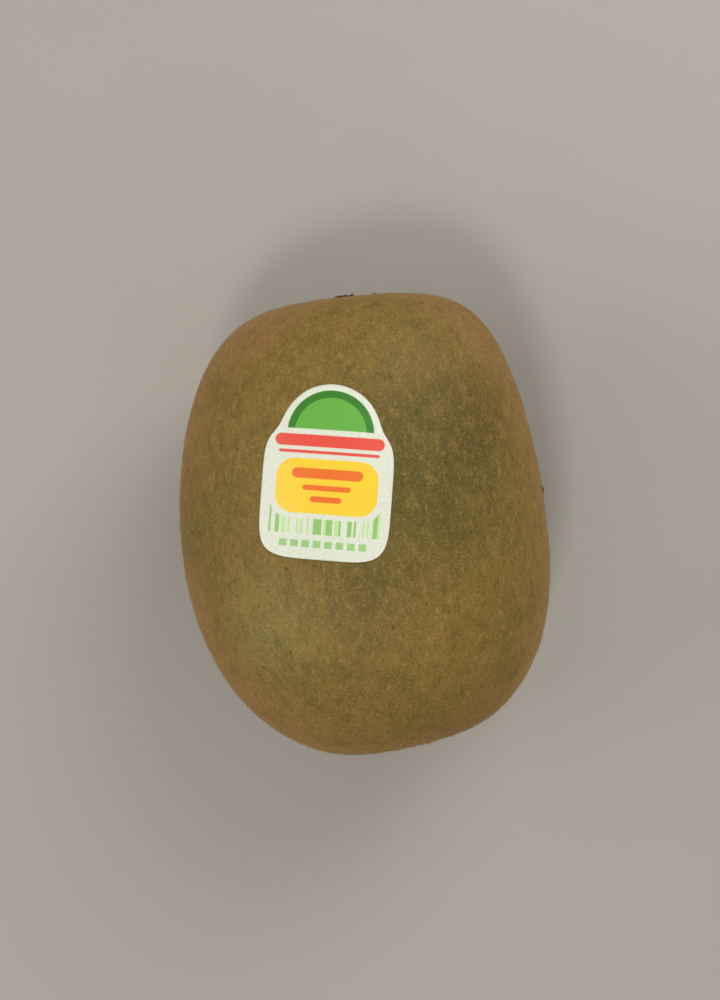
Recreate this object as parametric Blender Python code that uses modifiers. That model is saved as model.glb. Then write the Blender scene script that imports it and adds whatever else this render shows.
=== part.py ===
"""A whole golden kiwi fruit, lying on its side on the small flat spot that it rests on.

Metres, +Z up. The origin is the middle of the flat spot. +Y runs along the fruit, from the blossom end to
the stem end, and +X runs across it. The flesh and skin are one solid. What is left of the stalk, of the
flower and of its sepals, and the sticker on the skin, are solids of their own.
"""

import math
from collections import namedtuple

import bmesh
import bpy
from mathutils import Vector

# The fruit before its flat spot is pressed in.
LENGTH = 0.0681
WIDTH = 0.0556
HEIGHT = 0.0518
REST_DEPTH = 0.0003

# The fruit's profile along its length. A shoulder of 2 would be an ellipse, and a higher one is squarer.
STEM_SHOULDER = 4.75
BLOSSOM_SHOULDER = 4.05
GIRTH_LEAN = -0.026
GIRTH_BELLY = -0.276
GIRTH_STEM_SWELL = 0.071
BEND = 0.0028

# Each end of the fruit: which way it faces along Y, where its middle lies across the fruit and above its
# mid-height, how its face slants, and how deep and how wide its dimple is.
End = namedtuple("End", "side x z slant dimple_depth dimple_reach")
STEM_END = End(side=1, x=0.0016, z=0.0015, slant=-0.039, dimple_depth=0.0016, dimple_reach=0.0044)
BLOSSOM_END = End(side=-1, x=0.0048, z=0.0015, slant=0.084, dimple_depth=0.0008, dimple_reach=0.0036)

# How far the sticker lies off the skin, and the pieces in a dimple off its floor.
STICKER_GAP = 0.0003
DIMPLE_GAP = 0.0005

STUB_RADIUS = 0.0015
STUB_HEIGHT = 0.0018

SEPAL_COUNT = 5
SEPAL_ROOT = STUB_RADIUS + 0.0006
SEPAL_LENGTH = 0.0030
SEPAL_WIDTH = 0.0024
SEPAL_THICKNESS = 0.0003
SEPAL_CURL = 0.0007

# The stretch of a sine's hump that gives a sepal its outline: broad at the foot, pointed at the tip.
SEPAL_FOOT_PHASE = 0.22
SEPAL_TIP_PHASE = 0.96

STYLE_RADIUS = 0.0016
STYLE_HEIGHT = 0.0009

# The sticker is a square panel with rounded corners, and a round arch that stands on its upper edge.
PANEL_WIDTH = 0.0184
PANEL_HEIGHT = 0.0186
PANEL_SQUARENESS = 5.0
ARCH_RADIUS = 0.0070
ARCH_RISE = 0.0085
SHOULDER_SHARPNESS = 14
STICKER_THICKNESS = 0.00015
STICKER_X = -0.0045
STICKER_Y = 0.0052
STICKER_TURN = math.radians(-12.1)

BODY_CUTS = 23
STICKER_CELLS = 20
SEPAL_CELLS = (6, 8)
TURN_STEPS = 20
SHARP_ANGLE = math.radians(40)


def dimple(end, x, z):
    """How far the face of an end is sunk at a place across it."""
    off_middle = math.hypot(x - end.x, z - end.z)
    return end.dimple_depth * math.exp(-((off_middle / end.dimple_reach) ** 2))


def skin_point(direction):
    """The point of the skin that lies in this unit direction from the fruit's middle."""
    half_width, half_length, half_height = WIDTH / 2, LENGTH / 2, HEIGHT / 2
    shoulder = BLOSSOM_SHOULDER + (STEM_SHOULDER - BLOSSOM_SHOULDER) * (1 + direction.y) / 2
    across = math.hypot(direction.x / half_width, direction.z / half_height)
    along = abs(direction.y) / half_length
    reach = (across**shoulder + along**shoulder) ** (-1 / shoulder)
    share = direction.y * reach / half_length
    girth = 1 + GIRTH_LEAN * share + GIRTH_BELLY * share**2 + GIRTH_STEM_SWELL * share**3
    x, z = direction.x * reach * girth, direction.z * reach * girth
    slant = (STEM_END.slant * (1 + share) + BLOSSOM_END.slant * (1 - share)) / 2
    y = share * half_length + slant * x
    x += BEND * share**2
    end = STEM_END if share > 0 else BLOSSOM_END
    return Vector((x, y - end.side * dimple(end, x, z), z))


def end_place(end):
    """The middle of an end's face, level with the rim of its dimple, and the turn that faces +Z out of it."""
    slant_across = end.slant * (end.x - BEND)
    place = Vector((end.x, end.side * LENGTH / 2 + slant_across, end.z)) + fruit_middle()
    return place, (-end.side * math.pi / 2, 0, math.atan(end.slant))


def fruit_middle():
    """The fruit's middle, above the middle of its flat spot. The belly is widest just off mid-length."""
    widest_share = GIRTH_LEAN / (-2 * GIRTH_BELLY)
    return Vector((0, -widest_share * LENGTH / 2, HEIGHT / 2 - REST_DEPTH))


def finish_of(name, colour, roughness):
    """A plain surface of one colour."""
    material = bpy.data.materials.new(name)
    material.use_nodes = True
    surface = material.node_tree.nodes["Principled BSDF"]
    surface.inputs["Base Color"].default_value = (*colour, 1)
    surface.inputs["Roughness"].default_value = roughness
    surface.inputs["Metallic"].default_value = 0
    return material


def add_piece(collection, name, mesh, material):
    """A named object of this mesh, shaded smooth but for its sharp edges."""
    piece = bpy.data.objects.new(name, mesh)
    mesh.materials.append(material)
    mesh.shade_smooth()
    mesh.set_sharp_from_angle(angle=SHARP_ANGLE)
    collection.objects.link(piece)
    return piece


def mesh_of(bm, name):
    """Closes a bmesh into a mesh."""
    mesh = bpy.data.meshes.new(name)
    bm.to_mesh(mesh)
    bm.free()
    return mesh


def add_body(collection, material):
    """Flesh and skin in one: a ball of even squares, swelled to the fruit and pressed flat beneath."""
    bm = bmesh.new()
    bmesh.ops.create_cube(bm, size=2)
    bmesh.ops.subdivide_edges(bm, edges=bm.edges[:], cuts=BODY_CUTS, use_grid_fill=True)
    middle = fruit_middle()
    for vert in bm.verts:
        even = Vector([math.tan(math.pi / 4 * side) for side in vert.co])
        vert.co = skin_point(even.normalized()) + middle
        vert.co.z = max(vert.co.z, 0)
    return add_piece(collection, "kiwi_body", mesh_of(bm, "kiwi_body"), material)


def add_turned(collection, name, profile, material, anchor):
    """A piece turned about +Z from a profile of (radius, height) points, top first, that starts and ends on
    the axis."""
    bm = bmesh.new()
    points = [bm.verts.new((radius, 0, height)) for radius, height in profile]
    for upper, lower in zip(points, points[1:]):
        bm.edges.new((upper, lower))
    piece = add_piece(collection, name, mesh_of(bm, name), material)
    turned = piece.modifiers.new("turned", "SCREW")
    turned.steps = turned.render_steps = TURN_STEPS
    turned.use_merge_vertices = True
    turned.merge_threshold = 0.00001
    piece.parent = anchor
    return piece


def add_stub(collection, material, anchor):
    """The snapped end of the stalk: woody, flared at its foot, with a small pit where its pith dried out."""
    foot = DIMPLE_GAP - STEM_END.dimple_depth
    top = foot + STUB_HEIGHT
    profile = (
        (0, top - 0.00035),
        (STUB_RADIUS * 0.30, top - 0.00025),
        (STUB_RADIUS * 0.42, top),
        (STUB_RADIUS * 0.62, top - 0.00005),
        (STUB_RADIUS * 0.78, top - 0.00040),
        (STUB_RADIUS * 0.82, foot + STUB_HEIGHT * 0.45),
        (STUB_RADIUS, foot + STUB_HEIGHT * 0.12),
        (STUB_RADIUS, foot),
        (0, foot),
    )
    return add_turned(collection, "stem_stub", profile, material, anchor)


def add_style_scar(collection, material, anchor):
    """The dried foot of the flower's styles: a low pad that rises to a small tuft."""
    foot = DIMPLE_GAP - BLOSSOM_END.dimple_depth
    top = foot + STYLE_HEIGHT
    profile = (
        (0, top),
        (STYLE_RADIUS * 0.24, top - 0.00008),
        (STYLE_RADIUS * 0.40, top - 0.00045),
        (STYLE_RADIUS * 0.80, foot + 0.00055),
        (STYLE_RADIUS, foot + 0.00035),
        (STYLE_RADIUS, foot + 0.00012),
        (0, foot),
    )
    return add_turned(collection, "style_scar", profile, material, anchor)


def add_sepal(collection, number, material, anchor):
    """One dried sepal: a small pointed scale that follows the dimple outwards and curls up at its tip."""
    bm = bmesh.new()
    bmesh.ops.create_grid(bm, x_segments=SEPAL_CELLS[0], y_segments=SEPAL_CELLS[1], size=1)
    for vert in bm.verts:
        towards_tip = (1 + vert.co.y) / 2
        phase = SEPAL_FOOT_PHASE + (SEPAL_TIP_PHASE - SEPAL_FOOT_PHASE) * towards_tip
        leaf_width = math.sin(math.pi * phase)
        across = vert.co.x * leaf_width * SEPAL_WIDTH / 2
        outward = SEPAL_ROOT + towards_tip * SEPAL_LENGTH
        sunk = dimple(STEM_END, STEM_END.x + outward, STEM_END.z + across)
        vert.co = Vector((outward, across, DIMPLE_GAP - sunk + SEPAL_CURL * towards_tip**2))
    name = f"sepal_{number}"
    piece = add_piece(collection, name, mesh_of(bm, name), material)
    walls = piece.modifiers.new("thickness", "SOLIDIFY")
    walls.thickness = SEPAL_THICKNESS
    walls.offset = 1
    piece.parent = anchor
    piece.rotation_euler.z = math.tau * number / SEPAL_COUNT
    return piece


def sticker_edge(angle):
    """How far the sticker's edge lies from the middle of its panel in this direction."""
    across = abs(math.cos(angle)) / (PANEL_WIDTH / 2)
    upward = abs(math.sin(angle)) / (PANEL_HEIGHT / 2)
    panel = (across**PANEL_SQUARENESS + upward**PANEL_SQUARENESS) ** (-1 / PANEL_SQUARENESS)
    chord = ARCH_RADIUS**2 - (ARCH_RISE * math.cos(angle)) ** 2
    if math.sin(angle) < 0 or chord < 0:
        return panel
    arch = ARCH_RISE * math.sin(angle) + math.sqrt(chord)
    return (panel**SHOULDER_SHARPNESS + arch**SHOULDER_SHARPNESS) ** (1 / SHOULDER_SHARPNESS)


def add_sticker(collection, material, body):
    """A thin film laid on the skin: a flat shape, dropped onto the fruit from above."""
    bm = bmesh.new()
    bmesh.ops.create_grid(bm, x_segments=STICKER_CELLS, y_segments=STICKER_CELLS, size=1)
    for vert in bm.verts:
        x, y = vert.co.x, vert.co.y
        disc_x, disc_y = x * math.sqrt(1 - y * y / 2), y * math.sqrt(1 - x * x / 2)
        edge = sticker_edge(math.atan2(disc_y, disc_x))
        vert.co = Vector((disc_x * edge, disc_y * edge, 0))
    piece = add_piece(collection, "fruit_sticker", mesh_of(bm, "fruit_sticker"), material)
    piece.location = fruit_middle() + Vector((STICKER_X, STICKER_Y, HEIGHT))
    piece.rotation_euler.z = STICKER_TURN
    laid = piece.modifiers.new("laid_on", "SHRINKWRAP")
    laid.target = body
    laid.wrap_method = "PROJECT"
    laid.use_project_z = True
    laid.use_positive_direction = False
    laid.use_negative_direction = True
    laid.wrap_mode = "ABOVE_SURFACE"
    laid.offset = STICKER_GAP
    film = piece.modifiers.new("thickness", "SOLIDIFY")
    film.thickness = STICKER_THICKNESS
    film.offset = 1
    return piece


def add_anchor(collection, name, end):
    """An empty at the middle of an end's face, with +Z out of the fruit."""
    anchor = bpy.data.objects.new(name, None)
    anchor.location, anchor.rotation_euler = end_place(end)
    collection.objects.link(anchor)
    return anchor


def main():
    for leftover in list(bpy.data.objects):
        bpy.data.objects.remove(leftover)
    collection = bpy.data.collections.new("golden_kiwi_fruit")
    bpy.context.scene.collection.children.link(collection)

    skin = finish_of("skin", (0.19, 0.13, 0.035), 0.6)
    wood = finish_of("dry_stalk", (0.07, 0.035, 0.015), 0.9)
    husk = finish_of("dry_sepal", (0.05, 0.022, 0.010), 0.85)
    styles = finish_of("dry_styles", (0.03, 0.018, 0.010), 0.9)
    film = finish_of("sticker_film", (0.80, 0.81, 0.76), 0.4)

    body = add_body(collection, skin)
    stem_anchor = add_anchor(collection, "stem_end", STEM_END)
    blossom_anchor = add_anchor(collection, "blossom_end", BLOSSOM_END)
    add_stub(collection, wood, stem_anchor)
    for number in range(1, SEPAL_COUNT + 1):
        add_sepal(collection, number, husk, stem_anchor)
    add_style_scar(collection, styles, blossom_anchor)
    add_sticker(collection, film, body)


main()
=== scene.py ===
import math
import random

import bmesh
import bpy
import numpy as np
from mathutils import Matrix, Vector, noise
from mathutils.bvhtree import BVHTree


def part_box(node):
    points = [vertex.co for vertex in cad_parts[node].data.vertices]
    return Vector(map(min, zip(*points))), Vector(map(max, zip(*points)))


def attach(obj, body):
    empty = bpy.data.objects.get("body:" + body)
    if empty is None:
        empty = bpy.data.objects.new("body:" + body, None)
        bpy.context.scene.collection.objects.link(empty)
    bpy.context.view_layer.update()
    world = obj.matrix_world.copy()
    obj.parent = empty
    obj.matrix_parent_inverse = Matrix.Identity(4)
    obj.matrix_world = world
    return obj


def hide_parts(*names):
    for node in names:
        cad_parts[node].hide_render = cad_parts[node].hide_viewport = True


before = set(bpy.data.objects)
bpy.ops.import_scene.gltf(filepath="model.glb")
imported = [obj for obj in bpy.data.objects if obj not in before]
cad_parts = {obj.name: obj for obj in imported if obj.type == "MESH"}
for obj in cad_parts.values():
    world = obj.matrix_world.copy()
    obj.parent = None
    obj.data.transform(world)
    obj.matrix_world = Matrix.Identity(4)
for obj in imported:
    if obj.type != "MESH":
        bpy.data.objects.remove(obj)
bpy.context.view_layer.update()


# ---- Skin ------------------------------------------------------------------------------------------------
# The outside of the whole fruit: a thin, tough, olive-brown skin with corky pores, grown as one with the
# flesh. It is a ball of even squares drawn onto the smoothed solid, with the swells, the puckers round both
# ends and the scabs of a real fruit raised in its mesh.

# How finely the ball is cut, and how often the solid is rounded off before the ball is drawn onto it. Pairs
# of triangles that lean and skew less than this, in radians, are joined into squares first.
SKIN_CUTS = 127
GUIDE_LEVELS = 3
MOULD_SPACING = 0.00001
SQUARE_LEAN = 0.6
SQUARE_SKEW = 1.2

# Each kind of unevenness: how far it stands off the skin, and how many of its lumps fit in a metre.
SWELLS = ((0.00018, 55), (0.00007, 190), (0.000030, 620), (0.000016, 1300))

# Skin below this height is part of the flat spot that the fruit rests on, and stays flat.
UNDER_SIDE = 0.00008

body_low, body_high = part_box("kiwi_body")
body_middle = (body_low + body_high) / 2
stub_low, stub_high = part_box("stem_stub")
scar_low, scar_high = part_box("style_scar")
stem_end = Vector(((stub_low.x + stub_high.x) / 2, body_high.y, (stub_low.z + stub_high.z) / 2))
blossom_end = Vector(((scar_low.x + scar_high.x) / 2, body_low.y, (scar_low.z + scar_high.z) / 2))

# The puckers round each end: their middle, how many there are, how deep they are and how far they reach.
STEM_PUCKERS = (stem_end, 13, 0.00013, 0.0085)
BLOSSOM_PUCKERS = (blossom_end, 11, 0.00016, 0.0072)

# How far and how fast the puckers waver, how far they spiral on the way out to their reach, and the share
# of the reach at which they are deepest.
PUCKER_WAVER = 2.2
PUCKER_WAVERS = 260
PUCKER_SPIRAL = 5
PUCKER_RING = 0.42

# Corky scabs: each one's place, how wide it is and how far it stands out. Their rims are uneven by this
# share, with so many crumbs to a metre, and the bark colour reaches this many widths round them.
SIDE_SCAB = Vector((body_high.x, 0.0031, body_middle.z))
SHOULDER_SCAB = Vector((-0.0105, 0.0300, 0.0345))
SCABS = ((SIDE_SCAB, 0.00060, 0.00042), (SHOULDER_SCAB, 0.0007, 0.00012))
SCAB_RAGGED = 0.5
SCAB_CRUMBS = 1500
SCAB_STAIN = 2.4


def mesh_piece(name, bm):
    """Closes a bmesh into a named, smooth-shaded piece of the scene."""
    mesh = bpy.data.meshes.new(name)
    bm.to_mesh(mesh)
    bm.free()
    mesh.shade_smooth()
    piece = bpy.data.objects.new(name, mesh)
    bpy.context.scene.collection.objects.link(piece)
    return piece


def settle(piece):
    """Applies a piece's modifiers."""
    graph = bpy.context.evaluated_depsgraph_get()
    finished = bpy.data.meshes.new_from_object(piece.evaluated_get(graph))
    rough = piece.data
    piece.modifiers.clear()
    piece.data = finished
    bpy.data.meshes.remove(rough)
    finished.name = piece.name


def surface_of(piece):
    """What rays can be cast at."""
    return BVHTree.FromObject(piece, bpy.context.evaluated_depsgraph_get())


def smoothed(node):
    """A closed copy of a solid with its facets rounded off."""
    bm = bmesh.new()
    bm.from_mesh(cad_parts[node].data)
    bmesh.ops.remove_doubles(bm, verts=bm.verts[:], dist=MOULD_SPACING)
    bmesh.ops.join_triangles(
        bm, faces=bm.faces[:], angle_face_threshold=SQUARE_LEAN, angle_shape_threshold=SQUARE_SKEW
    )
    mould = mesh_piece("mould", bm)
    rounded = mould.modifiers.new("rounded", "SUBSURF")
    rounded.levels = rounded.render_levels = GUIDE_LEVELS
    settle(mould)
    return mould


def falling(distance, reach):
    """1 at no distance, falling smoothly to 0 at this reach and beyond."""
    share = min(distance / reach, 1)
    return 1 - share * share * (3 - 2 * share)


def puckered(point, middle, count, depth, reach):
    """How far radial folds lift the skin here. They fade out in the dimple and at their reach."""
    out_x, out_z = point.x - middle.x, point.z - middle.z
    radius = math.hypot(out_x, out_z)
    if radius > reach or abs(point.y - middle.y) >= reach:
        return 0
    turn = math.atan2(out_z, out_x)
    waver = PUCKER_WAVER * noise.noise(point * PUCKER_WAVERS)
    fold = math.cos(count * turn + waver + PUCKER_SPIRAL * radius / reach)
    ring = falling(abs(radius - PUCKER_RING * reach), (1 - PUCKER_RING) * reach)
    return depth * fold * ring


def raised(point):
    """How far the skin stands off the plain fruit here."""
    lift = sum(depth * noise.noise(point * per_metre) for depth, per_metre in SWELLS)
    lift += puckered(point, *STEM_PUCKERS) + puckered(point, *BLOSSOM_PUCKERS)
    for place, width, height in SCABS:
        ragged = width * (1 + SCAB_RAGGED * noise.noise(point * SCAB_CRUMBS))
        lift += height * math.exp(-((point - place).length / ragged) ** 2)
    return lift


bm = bmesh.new()
bmesh.ops.create_cube(bm, size=2)
bmesh.ops.subdivide_edges(bm, edges=bm.edges[:], cuts=SKIN_CUTS, use_grid_fill=True)
mould = smoothed("kiwi_body")
mould_surface = surface_of(mould)
for vert in bm.verts:
    even = Vector([math.tan(math.pi / 4 * side) for side in vert.co])
    outward = Vector((even.x * body_high.x, even.y * body_high.y, even.z * body_middle.z)).normalized()
    vert.co = mould_surface.ray_cast(body_middle, outward)[0]
bpy.data.objects.remove(mould)

bm.normal_update()
lifted = [vert.co + vert.normal * raised(vert.co) for vert in bm.verts]
for vert, point in zip(bm.verts, lifted):
    rests = vert.co.z < UNDER_SIDE
    vert.co = point
    vert.co.z = 0 if rests else max(point.z, 0)
skin = mesh_piece("skin", bm)
skin_surface = surface_of(skin)


class Signal:
    """One output of a shader node. Sums on signals and numbers add Math nodes."""

    def __init__(self, finish, socket):
        self.finish = finish
        self.socket = socket

    def math(self, operation, *operands):
        return self.finish.node("ShaderNodeMath", {"operation": operation}, dict(enumerate(operands)))

    def __add__(self, other):
        return self.math("ADD", self, other)

    def __sub__(self, other):
        return self.math("SUBTRACT", self, other)

    def __rsub__(self, other):
        return self.math("SUBTRACT", other, self)

    def __mul__(self, other):
        return self.math("MULTIPLY", self, other)

    def __abs__(self):
        return self.math("ABSOLUTE", self)

    __radd__ = __add__
    __rmul__ = __mul__

    def at_least(self, least):
        return self.math("MAXIMUM", self, least)

    def root(self):
        return self.math("SQRT", self)

    def floor(self):
        return self.math("FLOOR", self)

    def fraction(self):
        return self.math("FRACT", self)

    def rising(self, low, high):
        """0 up to low, 1 from high on, and a smooth step between. It falls where low is over high."""
        sockets = {"Value": self, "From Min": low, "From Max": high}
        return self.finish.node("ShaderNodeMapRange", {"interpolation_type": "SMOOTHSTEP"}, sockets)


class Finish:
    """A material made of shader nodes round one Principled shader."""

    def __init__(self, name):
        self.material = bpy.data.materials.new(name)
        self.material.use_nodes = True
        self.tree = self.material.node_tree
        self.shader = self.tree.nodes["Principled BSDF"]

    def feed(self, node, sockets):
        """Sets or links a node's sockets."""
        for name, value in sockets.items():
            if isinstance(value, Signal):
                self.tree.links.new(value.socket, node.inputs[name])
            else:
                node.inputs[name].default_value = value

    def node(self, kind, settings, sockets, output=0):
        """A new node of this kind, and the signal of one of its outputs."""
        made = self.tree.nodes.new(kind)
        for name, value in settings.items():
            setattr(made, name, value)
        self.feed(made, sockets)
        return Signal(self, made.outputs[output])

    def place(self):
        """Where a point of the piece is, in metres."""
        return self.node("ShaderNodeTexCoord", {}, {}, "Object")

    def stretched(self, place, scale):
        """The same place, measured in other steps along X, Y and Z."""
        return self.node("ShaderNodeMapping", {}, {"Vector": place, "Scale": scale})

    def clouds(self, place, per_metre, detail=3, roughness=0.55):
        """Soft noise from 0 to 1, with so many clouds to a metre."""
        sockets = {"Vector": place, "Scale": per_metre, "Detail": detail, "Roughness": roughness}
        return self.node("ShaderNodeTexNoise", {}, sockets)

    def specks(self, place, per_metre, size, share):
        """1 inside round specks, one to each cell, with only this share of the cells holding one."""
        sockets = {"Vector": place, "Scale": per_metre}
        near = self.node("ShaderNodeTexVoronoi", {}, sockets)
        cell = self.node("ShaderNodeTexVoronoi", {}, sockets, "Color")
        dice = self.node("ShaderNodeSeparateColor", {}, {"Color": cell})
        return near.rising(size, 0.3 * size) * dice.rising(1 - share, 1.04 - share)

    def near(self, place, middle, reach):
        """1 at this point, falling to 0 at its reach."""
        sockets = {0: place, 1: middle}
        distance = self.node("ShaderNodeVectorMath", {"operation": "DISTANCE"}, sockets, "Value")
        return distance.rising(reach, 0)

    def mix(self, amount, first, second):
        """The first colour, turning into the second as the amount goes from 0 to 1."""
        settings = {"data_type": "RGBA"}
        return self.node("ShaderNodeMix", settings, {0: amount, 6: first, 7: second}, 2)

    def bump(self, height, distance, strength):
        """A normal that leans as a surface of this height would. The height 1 stands this distance out."""
        sockets = {"Height": height, "Distance": distance, "Strength": strength}
        return self.node("ShaderNodeBump", {}, sockets)


def tint(red, green, blue):
    """A colour as a shader takes it, from its screen values out of 255."""
    channels = [channel / 255 for channel in (red, green, blue)]
    return (*[c / 12.92 if c <= 0.04045 else ((c + 0.055) / 1.055) ** 2.4 for c in channels], 1)


OLIVE_BROWN = tint(116, 94, 37)
GREEN_OLIVE = tint(84, 76, 22)
DARK_OLIVE = tint(76, 62, 22)
TAN = tint(138, 111, 53)
GOLD_BROWN = tint(124, 98, 39)
RUSSET = tint(137, 102, 53)
PINK_BROWN = tint(140, 98, 60)
PAINTED_HIGHLIGHT_OLIVE = tint(136, 124, 66)
PORE_BROWN = tint(66, 56, 25)
SCURF = tint(176, 147, 92)
BARK = tint(74, 48, 28)

# Where the skin takes on another colour, and how far each patch reaches. Most are the skin's own colours;
# the pale patch is a painted highlight and the dark patch is painted shade.
GREEN_MIDDLE = ((0.0120, 0.0085, body_high.z), 0.024)
GREEN_SIDE = ((body_low.x, 0.0040, 0.034), 0.020)
GREEN_FOOT = ((0.0010, -0.0060, body_high.z), 0.016)
# Painted highlight: a pale spot on the upper side, towards the key light, where its glare falls.
PAINTED_HIGHLIGHT_PATCH = ((-0.0145, -0.0105, 0.045), 0.013)
GOLD_PATCH = ((0.0075, -0.0170, 0.046), 0.016)
PINK_SHOULDER = ((-0.0090, 0.0328, 0.036), 0.012)
# Painted shade: a darker patch on the upper side that faces away from the key light.
PAINTED_SHADE_PATCH = ((0.0200, 0.0150, 0.043), 0.013)

# The lighter russet of the flanks starts below the first height and is full at the second. It is partly the
# browner colour of the sides and partly a painted rim glow, the sheen that fuzz gives at a grazing angle.
# Dry bark reaches this far from each end.
FLANK_FROM = 0.047
FLANK_FULL = 0.028
STEM_BARK = 0.0066
BLOSSOM_BARK = 0.0052
SKIN_RELIEF = 0.00010
SHEEN_GOLD = tint(226, 178, 104)

skin_finish = Finish("golden_kiwi_skin")
place = skin_finish.place()
along = skin_finish.stretched(place, (1, 0.6, 1))
drift = skin_finish.clouds(place, 45, 2, 0.5)
blotch = skin_finish.clouds(place, 190, 4, 0.6)
mottle = skin_finish.clouds(along, 620, 4, 0.65)
streaks = skin_finish.clouds(skin_finish.stretched(place, (1, 0.42, 1)), 1700, 2, 0.6)
grain = skin_finish.clouds(place, 3600, 2, 0.6)
height = skin_finish.node("ShaderNodeSeparateXYZ", {}, {0: place}, "Z")

# The broad colours first, then the blotches, the mottling and the finest grain over them.
# Partly painted rim glow: the flanks turn a lighter russet for the sheen of the fuzz, as well as for the
# browner sides.
flank_tone_and_rim_glow = height.rising(FLANK_FROM, FLANK_FULL) * 0.85 + (drift - 0.5) * 1.2
colour = skin_finish.mix(flank_tone_and_rim_glow.rising(0.1, 0.75), OLIVE_BROWN, RUSSET)
green = (skin_finish.near(place, *GREEN_MIDDLE) * 1.1).at_least(skin_finish.near(place, *GREEN_SIDE) * 0.55)
green = green.at_least(skin_finish.near(place, *GREEN_FOOT) * 0.7) + (blotch - 0.5) * 1.2
colour = skin_finish.mix(green.rising(0.1, 0.85) * 0.95, colour, GREEN_OLIVE)
# Painted highlight: the skin turns pale olive on the side towards the key light.
colour = skin_finish.mix(skin_finish.near(place, *PAINTED_HIGHLIGHT_PATCH) * 0.75, colour, PAINTED_HIGHLIGHT_OLIVE)
colour = skin_finish.mix(skin_finish.near(place, *GOLD_PATCH) * 0.8, colour, GOLD_BROWN)
pink = skin_finish.near(place, *PINK_SHOULDER).rising(0, 0.7) * blotch.rising(0.36, 0.54)
colour = skin_finish.mix(pink * 0.7, colour, PINK_BROWN)
# Painted shade: darker olive on the side that faces away from the key light.
colour = skin_finish.mix(skin_finish.near(place, *PAINTED_SHADE_PATCH) * 0.5, colour, DARK_OLIVE)
colour = skin_finish.mix(blotch.rising(0.5, 0.68) * 0.35, colour, RUSSET)
colour = skin_finish.mix(blotch.rising(0.48, 0.34) * 0.3, colour, GREEN_OLIVE)
colour = skin_finish.mix(mottle.rising(0.5, 0.66) * 0.36, colour, TAN)
colour = skin_finish.mix(mottle.rising(0.5, 0.34) * 0.34, colour, DARK_OLIVE)
colour = skin_finish.mix(streaks.rising(0.56, 0.72) * 0.24, colour, SCURF)
colour = skin_finish.mix(streaks.rising(0.46, 0.3) * 0.25, colour, DARK_OLIVE)
colour = skin_finish.mix(grain.rising(0.52, 0.7) * 0.3, colour, SCURF)
colour = skin_finish.mix(grain.rising(0.48, 0.3) * 0.35, colour, DARK_OLIVE)

pores = skin_finish.specks(place, 380, 0.16, 0.5)
small_pores = skin_finish.specks(place, 820, 0.2, 0.45)
flecks = skin_finish.specks(skin_finish.stretched(place, (1, 0.35, 1)), 1300, 0.22, 0.3)
colour = skin_finish.mix(flecks * 0.3, colour, SCURF)
colour = skin_finish.mix(small_pores * 0.35, colour, PORE_BROWN)
colour = skin_finish.mix(pores * 0.6, colour, PORE_BROWN)
bark = skin_finish.near(place, stem_end, STEM_BARK)
bark = bark.at_least(skin_finish.near(place, blossom_end, BLOSSOM_BARK))
bark = bark + (mottle - 0.5) * 0.8
for scab, width, _ in SCABS:
    bark = bark.at_least(skin_finish.near(place, scab, SCAB_STAIN * width) * 1.4)
colour = skin_finish.mix(bark.rising(0.15, 0.85), colour, BARK)

relief = mottle * 0.5 + streaks * 0.3 + grain * 0.35 + blotch * 0.4
relief = relief - pores * 0.5 - small_pores * 0.2 + flecks * 0.25
roughness = 0.62 + (mottle - 0.5) * 0.3 + pores * 0.15 + bark.rising(0.2, 0.8) * 0.2
skin_finish.feed(skin_finish.shader, {
    "Base Color": colour,
    "Roughness": roughness,
    "Normal": skin_finish.bump(relief, SKIN_RELIEF, 0.8),
    "Specular IOR Level": 0.25,
    "Sheen Weight": 0.18,
    "Sheen Roughness": 0.5,
    "Sheen Tint": SHEEN_GOLD,
})
skin.data.materials.append(skin_finish.material)
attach(skin, "root")
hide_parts("kiwi_body")


# ---- Sticker ---------------------------------------------------------------------------------------------
# A printed film label with a round-topped outline, smoothed onto the skin. It is a flat sheet dropped onto
# the fruit, thin as a hair, with its rim lifting a little and puckering unevenly all round.

# The outline is a square panel with rounded corners, and a round arch that rises out of its top.
PANEL_WIDTH = 0.0184
PANEL_HEIGHT = 0.0186
PANEL_SQUARENESS = 5.0
ARCH_RADIUS = 0.0070
ARCH_RISE = 0.0085
SHOULDER_SHARPNESS = 14

# How finely the sheet is cut, the square that the print is laid out on, where the label sits on the fruit,
# and how it lies on the skin.
STICKER_CELLS = 96
STICKER_SPAN = 0.032
STICKER_TURN = math.radians(-12.1)
STICKER_MIDDLE = Vector((-0.0045, 0.0068, 0))
FILM_THICKNESS = 0.00008
FILM_RELIEF = 0.00003
GLUE = 0.00006
RIM_LIFT = 0.00016
RIM_SHARE = 0.16
RIM_PUCKERS = 420
ABOVE_FRUIT = body_high.z + 0.01


def sticker_edge(angle):
    """How far the sticker's edge lies from the middle of its panel in this direction."""
    across = abs(math.cos(angle)) / (PANEL_WIDTH / 2)
    upward = abs(math.sin(angle)) / (PANEL_HEIGHT / 2)
    panel = (across**PANEL_SQUARENESS + upward**PANEL_SQUARENESS) ** (-1 / PANEL_SQUARENESS)
    chord = ARCH_RADIUS**2 - (ARCH_RISE * math.cos(angle)) ** 2
    if math.sin(angle) < 0 or chord < 0:
        return panel
    arch = ARCH_RISE * math.sin(angle) + math.sqrt(chord)
    return (panel**SHOULDER_SHARPNESS + arch**SHOULDER_SHARPNESS) ** (1 / SHOULDER_SHARPNESS)


def dropped(flat):
    """Where a point of the flat sticker lands on the fruit, and which way the skin faces there."""
    turned = Matrix.Rotation(STICKER_TURN, 3, "Z") @ flat + STICKER_MIDDLE
    start = Vector((turned.x, turned.y, ABOVE_FRUIT))
    return skin_surface.ray_cast(start, Vector((0, 0, -1)))[:2]


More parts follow.
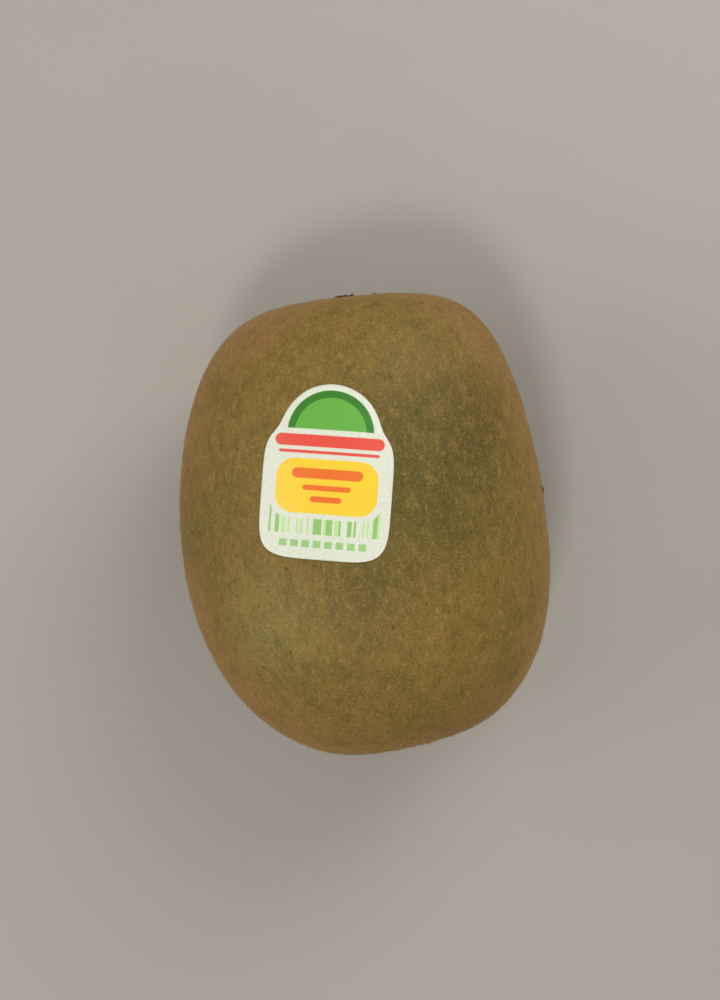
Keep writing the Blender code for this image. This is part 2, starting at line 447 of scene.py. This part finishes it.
bm = bmesh.new()
bmesh.ops.create_grid(bm, x_segments=STICKER_CELLS, y_segments=STICKER_CELLS, size=1)
print_map = bm.loops.layers.uv.new("print")
flats = {}
for vert in bm.verts:
    x, y = vert.co.x, vert.co.y
    disc_x, disc_y = x * math.sqrt(1 - y * y / 2), y * math.sqrt(1 - x * x / 2)
    edge = sticker_edge(math.atan2(disc_y, disc_x))
    flat = Vector((disc_x * edge, disc_y * edge, 0))
    flats[vert] = flat
    point, facing = dropped(flat)
    rim = falling(1 - math.hypot(disc_x, disc_y), RIM_SHARE)
    pucker = 0.5 + 0.5 * noise.noise(flat * RIM_PUCKERS)
    vert.co = point + facing * (GLUE + RIM_LIFT * rim * pucker * pucker)
for face in bm.faces:
    for loop in face.loops:
        flat = flats[loop.vert]
        loop[print_map].uv = (0.5 + flat.x / STICKER_SPAN, 0.5 + flat.y / STICKER_SPAN)
sticker = mesh_piece("sticker", bm)
film = sticker.modifiers.new("film", "SOLIDIFY")
film.thickness = FILM_THICKNESS
film.offset = 1

FILM_WHITE = tint(220, 223, 208)
FILM_SHADE = tint(210, 214, 196)
CAP_GREEN = tint(96, 168, 62)
CAP_DARK = tint(52, 120, 34)
STRIPE_RED = tint(222, 78, 62)
PANEL_GOLD = tint(240, 200, 48)
BAR_ORANGE = tint(228, 110, 36)
BAR_GREEN = tint(128, 186, 84)
BAR_PALE = tint(182, 216, 140)

# The printed shapes, in millimetres from the middle of the panel. A stripe, a panel or a line is its
# middle across and upward, and half its width and height.
PRINT_BLUR = 0.07
CAP_MIDDLE = 8.5
CAP_RADIUS = 6.1
CAP_FOOT = 9.0
CAP_BAND = 5.0
STRIPES = ((0, 7.35, 7.7, 0.85), (0, 5.75, 7.1, 0.22))
GOLD = (0, 0.95, 7.2, 3.85)
GOLD_CORNER = 2.6
GOLD_MARGIN = 0.7
LINES = ((0, 2.75, 5.0, 0.72), (0, 0.75, 3.4, 0.38), (0, -0.85, 2.2, 0.42))
BARS = (0, -2.2, 7.8, 3.6)
BAR_PITCH = 0.30
BAR_SEED = 4.5
DASHES = (0, -7.15, 6.4, 0.5)
DASH_PITCH = 1.6
BAR_CORNER = 0.1
DASH_CORNER = 0.3

sticker_finish = Finish("printed_film")
spot = sticker_finish.node("ShaderNodeUVMap", {"uv_map": "print"}, {})
span_mm = 1000 * STICKER_SPAN
across = (sticker_finish.node("ShaderNodeSeparateXYZ", {}, {0: spot}, "X") - 0.5) * span_mm
upward = (sticker_finish.node("ShaderNodeSeparateXYZ", {}, {0: spot}, "Y") - 0.5) * span_mm


def box_print(x, y, half_width, half_height, corner):
    """1 inside a printed box with round corners, 0 outside."""
    over_x = (abs(across - x) - (half_width - corner)).at_least(0)
    over_y = (abs(upward - y) - (half_height - corner)).at_least(0)
    outside = (over_x * over_x + over_y * over_y).root()
    return outside.rising(corner + PRINT_BLUR, corner - PRINT_BLUR)


def steps(pitch, seed):
    """A random number that holds for one pitch of the way across, and then changes."""
    count = (across * (1 / pitch)).floor()
    return sticker_finish.node("ShaderNodeTexWhiteNoise", {"noise_dimensions": "1D"}, {"W": count + seed})


cap_up = upward - CAP_MIDDLE
cap_out = (across * across + cap_up * cap_up).root()
cap = cap_out.rising(CAP_RADIUS + PRINT_BLUR, CAP_RADIUS - PRINT_BLUR)
cap = cap * upward.rising(CAP_FOOT - PRINT_BLUR, CAP_FOOT + PRINT_BLUR)
paper = sticker_finish.clouds(spot, 60, 3, 0.6)
ink = sticker_finish.mix(paper.rising(0.35, 0.7), FILM_SHADE, FILM_WHITE)
dice = steps(BAR_PITCH, BAR_SEED)
bars = dice.rising(0.46, 0.48) * box_print(*BARS, BAR_CORNER)
bars = bars * (1 - box_print(GOLD[0], GOLD[1], GOLD[2] + GOLD_MARGIN, GOLD[3] + GOLD_MARGIN, GOLD_CORNER))
dash = abs((across * (1 / DASH_PITCH)).fraction() - 0.5).rising(0.36, 0.32)
bar_ink = sticker_finish.mix(dice.rising(0.7, 0.72), BAR_PALE, BAR_GREEN)
ink = sticker_finish.mix(bars * 0.9, ink, bar_ink)
ink = sticker_finish.mix(dash * box_print(*DASHES, DASH_CORNER) * 0.8, ink, BAR_GREEN)
ink = sticker_finish.mix(cap, ink, CAP_GREEN)
ink = sticker_finish.mix(cap * cap_out.rising(CAP_BAND, CAP_BAND + 2 * PRINT_BLUR), ink, CAP_DARK)
for stripe in STRIPES:
    ink = sticker_finish.mix(box_print(*stripe, stripe[3]), ink, STRIPE_RED)
ink = sticker_finish.mix(box_print(*GOLD, GOLD_CORNER), ink, PANEL_GOLD)
for line in LINES:
    ink = sticker_finish.mix(box_print(*line, line[3]), ink, BAR_ORANGE)
sticker_finish.feed(sticker_finish.shader, {
    "Base Color": ink,
    "Roughness": 0.34 + (paper - 0.5) * 0.2,
    "Normal": sticker_finish.bump(sticker_finish.clouds(spot, 140, 2, 0.5), FILM_RELIEF, 0.25),
    "Specular IOR Level": 0.45,
})
sticker.data.materials.append(sticker_finish.material)
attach(sticker, "root")
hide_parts("fruit_sticker")


# ---- Fuzz ------------------------------------------------------------------------------------------------
# The short, soft hairs that are left on the skin after packing, thicker round both ends and on the flanks.
# Each one is a closed three-sided spike with one bend, rooted in the skin and leaning along the fruit.

# Each hair draws its length and its radius from between these. It starts a little under the skin.
HAIR_COUNT = 15000
HAIR_SEED = 20
HAIR_LENGTH = (0.00030, 0.00085)
HAIR_RADIUS = (0.000012, 0.000022)
HAIR_ROOT = 0.00003
BALD_UNDER = 0.0009
STICKER_MARGIN = 1.01

# How the hairs lie: swept towards the blossom end, each with a turn, a rise and a place of its own.
HAIR_SWEEP = (0, -0.9, 0)
HAIR_SPREAD = 0.55
HAIR_RISE = (0.18, 0.75)
HAIR_DROOP = 0.35
HAIR_SCATTER = 0.00018
LOWEST_HAIR = 0.0001

# How densely the hairs grow: everywhere, more at each end and more below this height, in uneven tufts.
GROWTH = 0.35
END_GROWTH = 2.6
END_REACH = 0.011
FLANK_GROWTH = 0.9
FLANK_TOP = 0.040
TUFTS = 330

draw = np.random.default_rng(HAIR_SEED)
patch_count = len(skin.data.polygons)
patches = {}
for name, size in (("center", 3), ("normal", 3), ("area", 1)):
    patches[name] = np.zeros(patch_count * size, np.float32)
    skin.data.polygons.foreach_get(name, patches[name])
centres = patches["center"].reshape(-1, 3)
normals = patches["normal"].reshape(-1, 3)


def distances(points, place):
    """How far each point is from a place."""
    return np.linalg.norm(points - np.array(place), axis=1)


def under_sticker(points):
    """Whether each point has the sticker over it."""
    turned = (points - np.array(STICKER_MIDDLE)) @ np.array(Matrix.Rotation(STICKER_TURN, 3, "Z"))
    angles = np.arctan2(turned[:, 1], turned[:, 0])
    edges = np.array([sticker_edge(angle) for angle in angles])
    inside = np.hypot(turned[:, 0], turned[:, 1]) < STICKER_MARGIN * edges
    return inside & (points[:, 2] > body_middle.z)


ends_near = np.minimum(distances(centres, stem_end), distances(centres, blossom_end)) / END_REACH
on_flank = centres[:, 2] < FLANK_TOP
wish = patches["area"] * (GROWTH + END_GROWTH * np.exp(-(ends_near**2)) + FLANK_GROWTH * on_flank)
tufts = np.array([noise.noise(Vector(centre) * TUFTS) for centre in centres])
wish = wish * np.clip(0.55 + 1.4 * tufts, 0.05, 2)
wish = np.where((centres[:, 2] < BALD_UNDER) | under_sticker(centres), 0, wish)
chosen = draw.choice(patch_count, HAIR_COUNT, p=wish / wish.sum())

bm = bmesh.new()
root_at_origin = Matrix.Translation((0, 0, 0.5))
bmesh.ops.create_cone(
    bm, cap_ends=True, segments=3, radius1=1, radius2=0, depth=1, matrix=root_at_origin
)
bmesh.ops.remove_doubles(bm, verts=bm.verts[:], dist=MOULD_SPACING)
sides = [edge for edge in bm.edges if abs(edge.verts[0].co.z - edge.verts[1].co.z) > 0.5]
bmesh.ops.subdivide_edges(bm, edges=sides, cuts=1)
bmesh.ops.triangulate(bm, faces=bm.faces[:])
bmesh.ops.recalc_face_normals(bm, faces=bm.faces[:])
fuzz = mesh_piece("fuzz", bm)
template = np.array([vert.co for vert in fuzz.data.vertices])
copies = fuzz.modifiers.new("copies", "ARRAY")
copies.count = HAIR_COUNT
copies.use_relative_offset = False
settle(fuzz)

ups = normals[chosen]
ups = ups / np.linalg.norm(ups, axis=1, keepdims=True)
sweep = draw.normal(0, HAIR_SPREAD, (HAIR_COUNT, 3)) + np.array(HAIR_SWEEP)
leans = sweep - np.sum(sweep * ups, axis=1, keepdims=True) * ups
leans = leans / np.linalg.norm(leans, axis=1, keepdims=True)
asides = np.cross(ups, leans)
scatter_along = draw.normal(0, HAIR_SCATTER, (HAIR_COUNT, 1))
scatter_aside = draw.normal(0, HAIR_SCATTER, (HAIR_COUNT, 1))
roots = centres[chosen] + leans * scatter_along + asides * scatter_aside - ups * HAIR_ROOT
lengths = draw.uniform(*HAIR_LENGTH, (HAIR_COUNT, 1, 1))
radii = draw.uniform(*HAIR_RADIUS, (HAIR_COUNT, 1, 1))
rises = draw.uniform(*HAIR_RISE, (HAIR_COUNT, 1, 1))
rung = template[None, :, 2:3]
spine = ups[:, None] * lengths * rises * (rung - HAIR_DROOP * rung**2) + leans[:, None] * lengths * rung
rim_a = ups[:, None] * radii * template[None, :, 0:1]
rim_b = asides[:, None] * radii * template[None, :, 1:2]
points = roots[:, None] + spine + rim_a + rim_b
points[:, :, 2] = np.maximum(points[:, :, 2], LOWEST_HAIR)
fuzz.data.vertices.foreach_set("co", points.astype(np.float32).ravel())
shade = fuzz.data.attributes.new("shade", "FLOAT", "POINT")
shades = np.repeat(draw.uniform(0, 1, HAIR_COUNT), len(template))
shade.data.foreach_set("value", shades.astype(np.float32))
fuzz.data.update()

HAIR_PALE = tint(178, 148, 90)
HAIR_DARK = tint(108, 80, 40)

fuzz_finish = Finish("kiwi_fuzz")
age = fuzz_finish.node("ShaderNodeAttribute", {"attribute_name": "shade"}, {}, "Fac")
fuzz_finish.feed(fuzz_finish.shader, {
    "Base Color": fuzz_finish.mix(age.rising(0.1, 0.9), HAIR_DARK, HAIR_PALE),
    "Roughness": 0.5 + age * 0.2,
    "Specular IOR Level": 0.3,
})
fuzz.data.materials.append(fuzz_finish.material)
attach(fuzz, "root")


# ---- Stalk end -------------------------------------------------------------------------------------------
# The woody button where the stalk snapped off: ribbed bark round a pale, torn core with its pith gone. It is
# turned from a profile and then weathered, and it sits in the dimple at the stem end.

# How deep the ribs, the knobs, the grit and the torn top are, and how far out of round the button is.
RIB_COUNT = 17
RIB_DEPTH = 0.00007
RIB_WAVER = 3
KNOB_DEPTH = 0.00009
GRIT_DEPTH = 0.00005
TORN_DEPTH = 0.00008
TORN_FROM = 0.6
BUTTON_OVAL = (0.12, -0.10)
BUTTON_STEPS = 72
PROFILE_SPACING = 0.00007
WOOD_RELIEF = 0.00006

stub_radius = (stub_high.x - stub_low.x) / 2
stub_height = stub_high.y - stub_low.y


def end_frame(middle, side):
    """The place of an end, turned so that +Z points out of the fruit."""
    return Matrix.Translation(middle) @ Matrix.Rotation(-side * math.pi / 2, 4, "X")


def turned(profile, steps_round):
    """A closed bmesh, turned about Z from points of (radius, height) that start and end on the axis."""
    bm = bmesh.new()
    points = [bm.verts.new((radius, 0, level)) for radius, level in profile]
    edges = [bm.edges.new(pair) for pair in zip(points, points[1:])]
    bmesh.ops.spin(
        bm,
        geom=points + edges,
        cent=(0, 0, 0),
        axis=(0, 0, 1),
        angle=math.tau,
        steps=steps_round,
        use_merge=True,
    )
    bmesh.ops.remove_doubles(bm, verts=bm.verts[:], dist=MOULD_SPACING / 10)
    bmesh.ops.recalc_face_normals(bm, faces=bm.faces[:])
    return bm


def drawn_finely(corners, spacing):
    """Points this far apart or nearer along the straight lines between corners."""
    line = [corners[0]]
    for (r0, z0), (r1, z1) in zip(corners, corners[1:]):
        parts = max(1, math.ceil(math.hypot(r1 - r0, z1 - z0) / spacing))
        line += [(r0 + (r1 - r0) * i / parts, z0 + (z1 - z0) * i / parts) for i in range(1, parts + 1)]
    return line


button_profile = drawn_finely((
    (0, 0.74 * stub_height),
    (0.16 * stub_radius, 0.80 * stub_height),
    (0.30 * stub_radius, 0.97 * stub_height),
    (0.55 * stub_radius, 0.99 * stub_height),
    (0.72 * stub_radius, 0.90 * stub_height),
    (0.78 * stub_radius, 0.55 * stub_height),
    (0.82 * stub_radius, 0.25 * stub_height),
    (1.02 * stub_radius, 0.06 * stub_height),
    (1.00 * stub_radius, -0.20 * stub_height),
    (0, -0.20 * stub_height),
), PROFILE_SPACING)
bm = turned(button_profile, BUTTON_STEPS)
for vert in bm.verts:
    radius = math.hypot(vert.co.x, vert.co.y)
    turn = math.atan2(vert.co.y, vert.co.x)
    share = min(radius / stub_radius, 1)
    rib = RIB_DEPTH * math.cos(RIB_COUNT * turn + RIB_WAVER * noise.noise(vert.co * 900)) * share
    knobbly = KNOB_DEPTH * noise.noise(vert.co * 1500) + GRIT_DEPTH * noise.noise(vert.co * 4500)
    on_top = vert.co.z > TORN_FROM * stub_height
    torn = TORN_DEPTH * noise.noise(Vector((vert.co.x, vert.co.y, 0)) * 2600) * on_top
    outward = Vector((math.cos(turn), math.sin(turn), 0)) * (rib + knobbly) * share
    oval = Vector((BUTTON_OVAL[0] * vert.co.x, BUTTON_OVAL[1] * vert.co.y, 0))
    vert.co += outward + oval + Vector((0, 0, torn))
stem_frame = end_frame(Vector((stem_end.x, stub_low.y, stem_end.z)), 1)
bmesh.ops.transform(bm, verts=bm.verts[:], matrix=stem_frame)
button = mesh_piece("stalk_button", bm)

WOOD_DARK = tint(46, 30, 20)
WOOD_BROWN = tint(84, 57, 36)
CORE_PALE = tint(150, 118, 80)

button_finish = Finish("dry_stalk_wood")
place = button_finish.place()
fibres = button_finish.clouds(button_finish.stretched(place, (1, 0.15, 1)), 5200, 4, 0.65)
stain = button_finish.clouds(place, 1100, 3, 0.6)
core = button_finish.near(place, (stem_end.x, stub_high.y, stem_end.z), 0.75 * stub_radius)
bark_colour = button_finish.mix(fibres.rising(0.3, 0.7), WOOD_DARK, WOOD_BROWN)
colour = button_finish.mix(core.rising(0.1, 0.6) * stain.rising(0.3, 0.6) * 0.8, bark_colour, CORE_PALE)
button_finish.feed(button_finish.shader, {
    "Base Color": colour,
    "Roughness": 0.8 + (fibres - 0.5) * 0.2,
    "Normal": button_finish.bump(fibres * 0.7 + stain * 0.3, WOOD_RELIEF, 0.8),
    "Specular IOR Level": 0.25,
})
button.data.materials.append(button_finish.material)
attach(button, "root")
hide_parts("stem_stub")


# ---- Sepals ----------------------------------------------------------------------------------------------
# Five dried sepals that once held the flower: brittle brown scales, folded along a midrib, with rolled and
# ragged edges. Each grows from the rim of the stalk and lies on the dimple before its tip curls up.

SEPAL_SEED = 7
SEPAL_THICKNESS = 0.00011
SEPAL_ROOT = 0.84 * stub_radius
SEPAL_OFF_SKIN = 0.00022
SEPAL_CELLS = (22, 34)
HUSK_RELIEF = 0.00005

# Each sepal draws its own length, half width, curl and twist from between these.
SEPAL_LENGTHS = (0.0036, 0.0043)
SEPAL_HALF_WIDTHS = (0.00125, 0.00150)
SEPAL_CURLS = (0.0004, 0.0010)
SEPAL_TWISTS = (-0.35, 0.35)

# Where on a half wave the outline starts at the foot, and how much of it runs from there to the tip. How
# ragged the rim is, how much the sides draw back from the tip, and how far a full twist moves the tip.
OUTLINE_FOOT = 0.20
OUTLINE_SPAN = 0.78
RIM_RAGGED = 0.16
SIDES_BACK = 0.10
TWIST_REACH = 0.0009

# How far the fold along the midrib, the veins, the crinkles and the rolled edges move the blade.
FOLD_RISE = 0.00030
MIDRIB_DEPTH = 0.00005
VEIN_RISE = 0.00002
CRINKLE_RISE = 0.00012
ROLL_RISE = 0.00084
ROLL_FROM = 0.72
LEAST_OFF_SKIN = 0.00006
ABOVE_END = 0.01

sepal_nodes = sorted(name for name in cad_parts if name.startswith("sepal_"))
sepal_dice = random.Random(SEPAL_SEED)
sepals = []
for name in sepal_nodes:
    low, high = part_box(name)
    middle = (low + high) / 2
    towards = Vector((middle.x - stem_end.x, 0, middle.z - stem_end.z)).normalized()
    sideways = towards.cross(Vector((0, 1, 0)))
    length = sepal_dice.uniform(*SEPAL_LENGTHS)
    half_width = sepal_dice.uniform(*SEPAL_HALF_WIDTHS)
    curl = sepal_dice.uniform(*SEPAL_CURLS)
    twist = sepal_dice.uniform(*SEPAL_TWISTS)
    bm = bmesh.new()
    bmesh.ops.create_grid(bm, x_segments=SEPAL_CELLS[0], y_segments=SEPAL_CELLS[1], size=1)
    for vert in bm.verts:
        side, tipward = vert.co.x, (1 + vert.co.y) / 2
        outline = math.sin(math.pi * (OUTLINE_FOOT + OUTLINE_SPAN * tipward**0.9))
        ragged = 1 + RIM_RAGGED * noise.noise(Vector((tipward * 9, side * 2, middle.x * 3000)))
        out = SEPAL_ROOT + tipward * length * (1 - SIDES_BACK * side * side)
        aside = side * half_width * outline * ragged + twist * tipward**2 * TWIST_REACH
        foot = Vector((stem_end.x, 0, stem_end.z)) + towards * out + sideways * aside
        start = Vector((foot.x, body_high.y + ABOVE_END, foot.z))
        ground = skin_surface.ray_cast(start, Vector((0, -1, 0)))[0]
        fold = FOLD_RISE * abs(side) ** 1.5 * (1 - 0.5 * tipward)
        midrib = -MIDRIB_DEPTH * math.exp(-((side / 0.13) ** 2))
        vein = VEIN_RISE * math.cos(side * 14 + tipward * 6)
        crinkle = CRINKLE_RISE * noise.noise(Vector((out, aside, middle.z)) * 1700) * (0.3 + tipward)
        wave = noise.noise(Vector((tipward * 4, side, middle.x * 900)))
        rolled = ROLL_RISE * max(0, abs(side) - ROLL_FROM) * wave
        off = SEPAL_OFF_SKIN + curl * tipward**2.4 + fold + midrib + vein + crinkle + rolled
        vert.co = Vector((foot.x, ground.y + max(off, LEAST_OFF_SKIN), foot.z))
    bmesh.ops.recalc_face_normals(bm, faces=bm.faces[:])
    if sum(face.normal.y for face in bm.faces) < 0:
        bmesh.ops.reverse_faces(bm, faces=bm.faces[:])
    sepal = mesh_piece(f"dried_{name}", bm)
    blade = sepal.modifiers.new("blade", "SOLIDIFY")
    blade.thickness = SEPAL_THICKNESS
    blade.offset = 1
    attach(sepal, "root")
    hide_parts(name)
    sepals.append(sepal)

HUSK_DARK = tint(52, 32, 20)
HUSK_BROWN = tint(104, 70, 42)
HUSK_EDGE = tint(146, 108, 66)

husk_finish = Finish("dry_sepal_husk")
place = husk_finish.place()
veins = husk_finish.clouds(place, 3800, 4, 0.65)
stain = husk_finish.clouds(place, 800, 3, 0.6)
colour = husk_finish.mix(veins.rising(0.3, 0.7), HUSK_DARK, HUSK_BROWN)
colour = husk_finish.mix(stain.rising(0.55, 0.75) * 0.6, colour, HUSK_EDGE)
husk_finish.feed(husk_finish.shader, {
    "Base Color": colour,
    "Roughness": 0.72 + (veins - 0.5) * 0.3,
    "Normal": husk_finish.bump(veins, HUSK_RELIEF, 0.8),
    "Specular IOR Level": 0.3,
})
for sepal in sepals:
    sepal.data.materials.append(husk_finish.material)


# ---- Flower end ------------------------------------------------------------------------------------------
# What is left of the flower opposite the stalk: a small corky pad with a tuft of dried styles and stamens.
# The pad is turned and weathered, and each thread is a thin spike, bent and rooted in the pad.

# How lobed, lumpy, gritty and ragged the pad is. Inside the core it has no lobes.
PAD_STEPS = 64
PAD_LOBES = 2.6
PAD_CORE = 0.0004
PAD_LUMPS = 0.00012
PAD_GRIT = 0.00008
PAD_RAGGED = 0.30
CORK_RELIEF = 0.00007

# Each thread draws its length, girth, lean and hook from between these. It stands this share of a turn
# round from the last one, as seeds do in a flower head, and strays from there by up to this angle.
THREAD_COUNT = 90
THREAD_SEED = 5
THREAD_CUTS = 5
THREAD_LENGTHS = (0.0005, 0.0012)
THREAD_GIRTHS = (0.000035, 0.000065)
THREAD_LEANS = (0.1, 0.5)
THREAD_HOOKS = (-0.7, 0.7)
THREAD_TURN = 0.381966
THREAD_STRAY = 0.3

# How far out on the pad the outermost thread is rooted, at what level, and how wide each top is beside its
# foot.
THREAD_SPREAD = 0.92
THREAD_FOOT = 0.28
THREAD_TOP = 0.55

pad_radius = (scar_high.x - scar_low.x) / 2
pad_height = scar_high.y - scar_low.y
pad_profile = drawn_finely((
    (0, 0.62 * pad_height),
    (0.22 * pad_radius, 0.58 * pad_height),
    (0.42 * pad_radius, 0.42 * pad_height),
    (0.66 * pad_radius, 0.46 * pad_height),
    (0.92 * pad_radius, 0.28 * pad_height),
    (1.02 * pad_radius, -0.15 * pad_height),
    (0.98 * pad_radius, -0.75 * pad_height),
    (0, -0.75 * pad_height),
), PROFILE_SPACING)
bm = turned(pad_profile, PAD_STEPS)
for vert in bm.verts:
    radius = math.hypot(vert.co.x, vert.co.y)
    share = min(radius / pad_radius, 1)
    lobe = noise.noise(Vector((vert.co.x, vert.co.y, 0)) * (PAD_LOBES / max(radius, PAD_CORE)))
    vert.co.z += PAD_LUMPS * noise.noise(vert.co * 1300) + PAD_GRIT * noise.noise(vert.co * 3600)
    vert.co.x *= 1 + PAD_RAGGED * share * lobe
    vert.co.y *= 1 + PAD_RAGGED * share * lobe
blossom_frame = end_frame(Vector((blossom_end.x, scar_high.y, blossom_end.z)), -1)
bmesh.ops.transform(bm, verts=bm.verts[:], matrix=blossom_frame)
pad = mesh_piece("flower_pad", bm)

thread_dice = random.Random(THREAD_SEED)
tuft = bmesh.new()
for number in range(THREAD_COUNT):
    turn = math.tau * number * THREAD_TURN + thread_dice.uniform(-THREAD_STRAY, THREAD_STRAY)
    root = pad_radius * THREAD_SPREAD * math.sqrt((number + 0.5) / THREAD_COUNT)
    length = thread_dice.uniform(*THREAD_LENGTHS) * (1.15 - 0.3 * root / pad_radius)
    girth = thread_dice.uniform(*THREAD_GIRTHS)
    lean = thread_dice.uniform(*THREAD_LEANS) + 0.8 * root / pad_radius
    hook = thread_dice.uniform(*THREAD_HOOKS)
    made_before = len(tuft.verts)
    bmesh.ops.create_cone(tuft, cap_ends=True, segments=6, radius1=1, radius2=THREAD_TOP, depth=1)
    tuft.verts.ensure_lookup_table()
    new_edges = {edge for vert in tuft.verts[made_before:] for edge in vert.link_edges}
    long_edges = [edge for edge in new_edges if abs(edge.verts[0].co.z - edge.verts[1].co.z) > 0.5]
    bmesh.ops.subdivide_edges(tuft, edges=long_edges, cuts=THREAD_CUTS)
    tuft.verts.ensure_lookup_table()
    outward = Vector((math.cos(turn), math.sin(turn), 0))
    sidewise = Vector((-math.sin(turn), math.cos(turn), 0))
    for vert in tuft.verts[made_before:]:
        rung = vert.co.z + 0.5
        bent = outward * (root + lean * length * rung**1.6) + sidewise * hook * length * rung**2
        arch = (0.9 - 0.5 * root / pad_radius) * length * (rung - 0.35 * rung**2)
        rise = Vector((0, 0, THREAD_FOOT * pad_height + arch))
        vert.co = bent + rise + Vector((vert.co.x, vert.co.y, 0)) * girth * (1 - 0.35 * rung)
bmesh.ops.transform(tuft, verts=tuft.verts[:], matrix=blossom_frame)
bmesh.ops.recalc_face_normals(tuft, faces=tuft.faces[:])
threads = mesh_piece("flower_threads", tuft)

CORK_DARK = tint(44, 30, 19)
CORK_BROWN = tint(112, 82, 52)

cork_finish = Finish("dry_flower_cork")
place = cork_finish.place()
crumbs = cork_finish.clouds(place, 3000, 4, 0.65)
colour = cork_finish.mix(crumbs.rising(0.3, 0.7), CORK_DARK, CORK_BROWN)
cork_finish.feed(cork_finish.shader, {
    "Base Color": colour,
    "Roughness": 0.85 + (crumbs - 0.5) * 0.2,
    "Normal": cork_finish.bump(crumbs, CORK_RELIEF, 0.8),
    "Specular IOR Level": 0.25,
})
for piece in (pad, threads):
    piece.data.materials.append(cork_finish.material)
    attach(piece, "root")
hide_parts("style_scar")


# ---- Floor, light and camera -----------------------------------------------------------------------------
# A plain, pale table top with a dull coat, which the fruit rests on. Broad soft lights stand round it, and
# the camera looks straight down from above.

FLOOR_SIZE = 6.0
FLOOR_GREY = tint(158, 152, 144)
FLOOR_PALE = tint(163, 157, 149)

# The camera looks down from this height, turned a little. At the middle of the fruit it takes in this
# much from the top of its view to the bottom.
CAMERA_HEIGHT = 0.336
CAMERA_TURN = math.radians(-7.9)
CAMERA_ASIDE = -0.00043
CAMERA_UP = 0.0037
VIEW_HEIGHT = 0.1525
SENSOR = 36.0
FRUIT_AXIS_Y = 0.0016

bm = bmesh.new()
bmesh.ops.create_grid(bm, x_segments=1, y_segments=1, size=FLOOR_SIZE / 2)
floor = mesh_piece("floor", bm)
floor_finish = Finish("table_top")
place = floor_finish.place()
wear = floor_finish.clouds(place, 30, 3, 0.5)
floor_finish.feed(floor_finish.shader, {
    "Base Color": floor_finish.mix(wear, FLOOR_GREY, FLOOR_PALE),
    "Roughness": 0.55 + (wear - 0.5) * 0.1,
})
floor.data.materials.append(floor_finish.material)

# Each light: its place, how wide it is, its power in watts and its colour. All face the fruit.
LIGHTS = {
    "key": ((-0.16, -0.34, 0.85), 0.18, 2.5, (1.0, 0.97, 0.92)),
    "overhead": ((0.22, 0.26, 0.34), 0.30, 0.85, (1.0, 0.98, 0.95)),
    "window": ((0.34, 0.30, 0.24), 0.22, 0.35, (1.0, 0.99, 0.97)),
    "fill": ((-0.45, 0.05, 0.30), 0.40, 0.8, (1.0, 0.98, 0.95)),
}
for name, (place, width, watts, light_colour) in LIGHTS.items():
    lamp = bpy.data.lights.new(name, "AREA")
    lamp.shape = "DISK"
    lamp.size = width
    lamp.energy = watts
    lamp.color = light_colour
    light = bpy.data.objects.new(name, lamp)
    light.location = place
    light.rotation_euler = (body_middle - Vector(place)).to_track_quat("-Z", "Y").to_euler()
    bpy.context.scene.collection.objects.link(light)

SKY_GREY = (0.80, 0.80, 0.79, 1)
SKY_STRENGTH = 0.54

world = bpy.data.worlds.new("studio")
world.use_nodes = True
sky = world.node_tree.nodes["Background"]
sky.inputs["Color"].default_value = SKY_GREY
sky.inputs["Strength"].default_value = SKY_STRENGTH
bpy.context.scene.world = world
bpy.context.scene.view_settings.view_transform = "Standard"

camera_data = bpy.data.cameras.new("camera")
camera_data.sensor_width = SENSOR
camera_data.lens = SENSOR * (CAMERA_HEIGHT - body_middle.z) / VIEW_HEIGHT
camera_data.clip_start = 0.01
camera = bpy.data.objects.new("camera", camera_data)
looking = Matrix.Rotation(CAMERA_TURN, 3, "Z")
camera.location = Vector((0, FRUIT_AXIS_Y, CAMERA_HEIGHT)) + looking @ Vector((CAMERA_ASIDE, CAMERA_UP, 0))
camera.rotation_euler = (0, 0, CAMERA_TURN)
bpy.context.scene.collection.objects.link(camera)
bpy.context.scene.camera = camera
